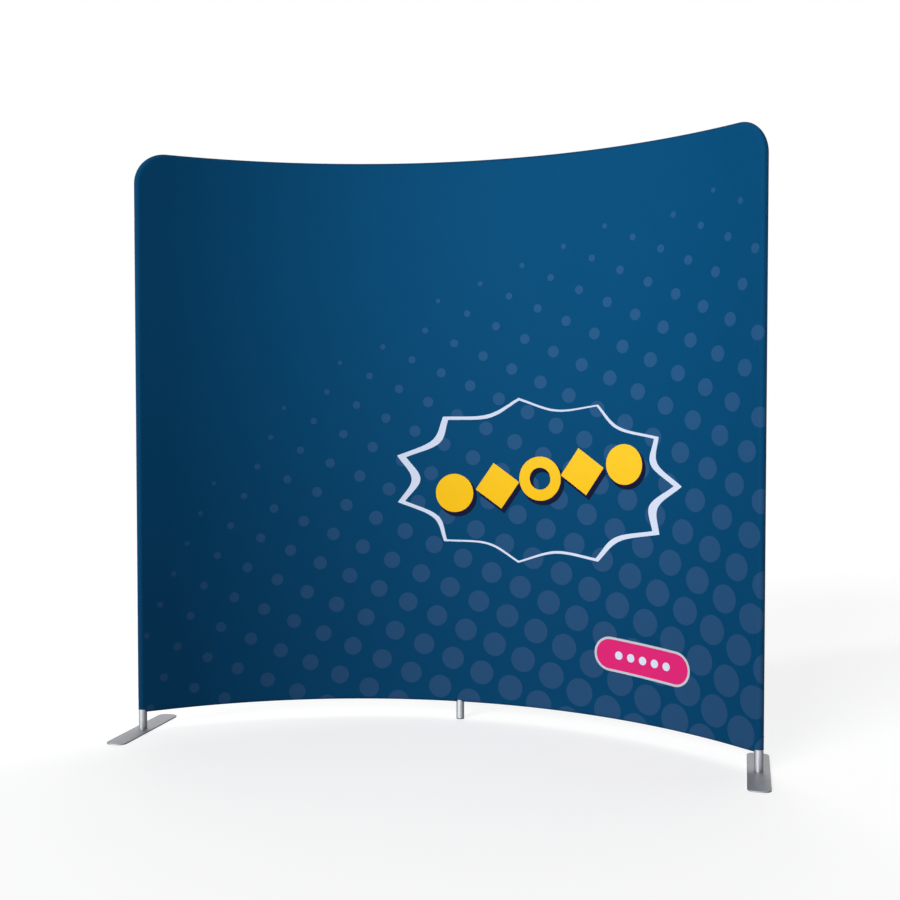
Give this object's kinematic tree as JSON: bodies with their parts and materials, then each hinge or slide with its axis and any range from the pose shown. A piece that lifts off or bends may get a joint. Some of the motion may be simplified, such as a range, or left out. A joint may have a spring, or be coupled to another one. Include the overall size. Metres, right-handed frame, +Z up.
{
  "type": "curved tension-fabric display wall",
  "caption": "Free-standing curved display wall: printed stretch cover over a plug-together tube frame, on two flat foot plates and a short centre leg.",
  "frame": {"origin": "on the floor under the centre of the bounding box", "axes": "+X along the wall to the right as seen from the hollow front, +Y to the back, +Z up"},
  "size_m": [2.446, 0.7194, 2.275],
  "materials": {
    "tube_aluminium": "mill-finished aluminium tube, satin",
    "ferrule_aluminium": "plain drawn aluminium",
    "plate_steel": "satin steel plate",
    "screw_steel": "zinc plated steel",
    "spring_steel": "bright spring strip",
    "button_steel": "nickel plated",
    "cap_rubber": "grey moulded end cap",
    "cover_fabric": "printed stretch polyester",
    "zip_tape": "woven zip tape",
    "zip_teeth": "moulded zip coil",
    "zip_metal": "nickel plated zip hardware"
  },
  "bodies": {
    "frame": {"left_upright_lower": "tube_aluminium", "right_upright_lower": "tube_aluminium", "left_upright_upper": "tube_aluminium", "right_upright_upper": "tube_aluminium", "left_corner_tube": "tube_aluminium", "right_corner_tube": "tube_aluminium", "top_rail_left": "tube_aluminium", "top_rail_right": "tube_aluminium", "top_tee": "tube_aluminium", "bottom_rail_left": "tube_aluminium", "bottom_rail_right": "tube_aluminium", "bottom_tee": "tube_aluminium", "centre_post_lower": "tube_aluminium", "centre_post_upper": "tube_aluminium", "centre_leg": "tube_aluminium", "upright_ferrules": "ferrule_aluminium", "top_rail_ferrules": "ferrule_aluminium", "bottom_rail_ferrules": "ferrule_aluminium", "centre_post_ferrule": "ferrule_aluminium", "rivets": "ferrule_aluminium", "button_springs": "spring_steel", "centre_leg_cap": "cap_rubber", "cover_front": "cover_fabric", "cover_back": "cover_fabric", "zip_tapes": "zip_tape", "zip_teeth": "zip_teeth", "zip_stops": "zip_metal"},
    "left_foot": {"left_foot_plate": "plate_steel", "left_foot_post": "ferrule_aluminium", "left_foot_screw": "screw_steel"},
    "right_foot": {"right_foot_plate": "plate_steel", "right_foot_post": "ferrule_aluminium", "right_foot_screw": "screw_steel"},
    "left_upright_button": {"left_upright_button": "button_steel"},
    "left_corner_button": {"left_corner_button": "button_steel"},
    "left_top_rail_button": {"left_top_rail_button": "button_steel"},
    "left_top_tee_button": {"left_top_tee_button": "button_steel"},
    "left_bottom_rail_button": {"left_bottom_rail_button": "button_steel"},
    "left_bottom_tee_button": {"left_bottom_tee_button": "button_steel"},
    "right_upright_button": {"right_upright_button": "button_steel"},
    "right_corner_button": {"right_corner_button": "button_steel"},
    "right_top_rail_button": {"right_top_rail_button": "button_steel"},
    "right_top_tee_button": {"right_top_tee_button": "button_steel"},
    "right_bottom_rail_button": {"right_bottom_rail_button": "button_steel"},
    "right_bottom_tee_button": {"right_bottom_tee_button": "button_steel"},
    "centre_post_button": {"centre_post_button": "button_steel"},
    "centre_post_top_button": {"centre_post_top_button": "button_steel"},
    "centre_post_foot_button": {"centre_post_foot_button": "button_steel"},
    "zip_slider": {"zip_slider": "zip_metal"},
    "zip_pull": {"zip_pull_tab": "zip_metal"}
  },
  "joints": [
    {"name": "left_foot_swivel", "type": "hinge", "parent": "frame", "child": "left_foot", "pos_m": [-1.183, -0.12965, 0], "axis": [0, 0, 1], "continuous": true},
    {"name": "right_foot_swivel", "type": "hinge", "parent": "frame", "child": "right_foot", "pos_m": [1.183, -0.12965, 0], "axis": [0, 0, 1], "continuous": true},
    {"name": "left_upright_press", "type": "slide", "parent": "frame", "child": "left_upright_button", "axis": [-0.7673, -0.6413, 0], "range_m": [0, 0.0048], "stiffness_N_per_m": 1200, "springref_m": -0.003, "deforming": ["button_springs"]},
    {"name": "left_corner_press", "type": "slide", "parent": "frame", "child": "left_corner_button", "axis": [-0.7673, -0.6413, 0], "range_m": [0, 0.0048], "stiffness_N_per_m": 1200, "springref_m": -0.003, "deforming": ["button_springs"]},
    {"name": "left_top_rail_press", "type": "slide", "parent": "frame", "child": "left_top_rail_button", "axis": [0, 0, 1], "range_m": [0, 0.0048], "stiffness_N_per_m": 1200, "springref_m": -0.003, "deforming": ["button_springs"]},
    {"name": "left_top_tee_press", "type": "slide", "parent": "frame", "child": "left_top_tee_button", "axis": [0, 0, 1], "range_m": [0, 0.0048], "stiffness_N_per_m": 1200, "springref_m": -0.003, "deforming": ["button_springs"]},
    {"name": "left_bottom_rail_press", "type": "slide", "parent": "frame", "child": "left_bottom_rail_button", "axis": [0, 0, -1], "range_m": [0, 0.0048], "stiffness_N_per_m": 1200, "springref_m": -0.003, "deforming": ["button_springs"]},
    {"name": "left_bottom_tee_press", "type": "slide", "parent": "frame", "child": "left_bottom_tee_button", "axis": [0, 0, -1], "range_m": [0, 0.0048], "stiffness_N_per_m": 1200, "springref_m": -0.003, "deforming": ["button_springs"]},
    {"name": "right_upright_press", "type": "slide", "parent": "frame", "child": "right_upright_button", "axis": [0.7673, -0.6413, 0], "range_m": [0, 0.0048], "stiffness_N_per_m": 1200, "springref_m": -0.003, "deforming": ["button_springs"]},
    {"name": "right_corner_press", "type": "slide", "parent": "frame", "child": "right_corner_button", "axis": [0.7673, -0.6413, 0], "range_m": [0, 0.0048], "stiffness_N_per_m": 1200, "springref_m": -0.003, "deforming": ["button_springs"]},
    {"name": "right_top_rail_press", "type": "slide", "parent": "frame", "child": "right_top_rail_button", "axis": [0, 0, 1], "range_m": [0, 0.0048], "stiffness_N_per_m": 1200, "springref_m": -0.003, "deforming": ["button_springs"]},
    {"name": "right_top_tee_press", "type": "slide", "parent": "frame", "child": "right_top_tee_button", "axis": [0, 0, 1], "range_m": [0, 0.0048], "stiffness_N_per_m": 1200, "springref_m": -0.003, "deforming": ["button_springs"]},
    {"name": "right_bottom_rail_press", "type": "slide", "parent": "frame", "child": "right_bottom_rail_button", "axis": [0, 0, -1], "range_m": [0, 0.0048], "stiffness_N_per_m": 1200, "springref_m": -0.003, "deforming": ["button_springs"]},
    {"name": "right_bottom_tee_press", "type": "slide", "parent": "frame", "child": "right_bottom_tee_button", "axis": [0, 0, -1], "range_m": [0, 0.0048], "stiffness_N_per_m": 1200, "springref_m": -0.003, "deforming": ["button_springs"]},
    {"name": "centre_post_press", "type": "slide", "parent": "frame", "child": "centre_post_button", "axis": [-1, 0, 0], "range_m": [0, 0.0048], "stiffness_N_per_m": 1200, "springref_m": -0.003, "deforming": ["button_springs"]},
    {"name": "centre_post_top_press", "type": "slide", "parent": "frame", "child": "centre_post_top_button", "axis": [-1, 0, 0], "range_m": [0, 0.0048], "stiffness_N_per_m": 1200, "springref_m": -0.003, "deforming": ["button_springs"]},
    {"name": "centre_post_foot_press", "type": "slide", "parent": "frame", "child": "centre_post_foot_button", "axis": [-1, 0, 0], "range_m": [0, 0.0048], "stiffness_N_per_m": 1200, "springref_m": -0.003, "deforming": ["button_springs"]},
    {"name": "zip_travel", "type": "hinge", "parent": "frame", "child": "zip_slider", "pos_m": [0, -1.37214, 0.127], "axis": [0, 0, 1], "range_deg": [0, 75.12]},
    {"name": "zip_pull_flip", "type": "hinge", "parent": "zip_slider", "child": "zip_pull", "pos_m": [1.05751, 0.00307, 0.127], "axis": [0, 0, -1], "range_deg": [0, 175]}
  ]
}
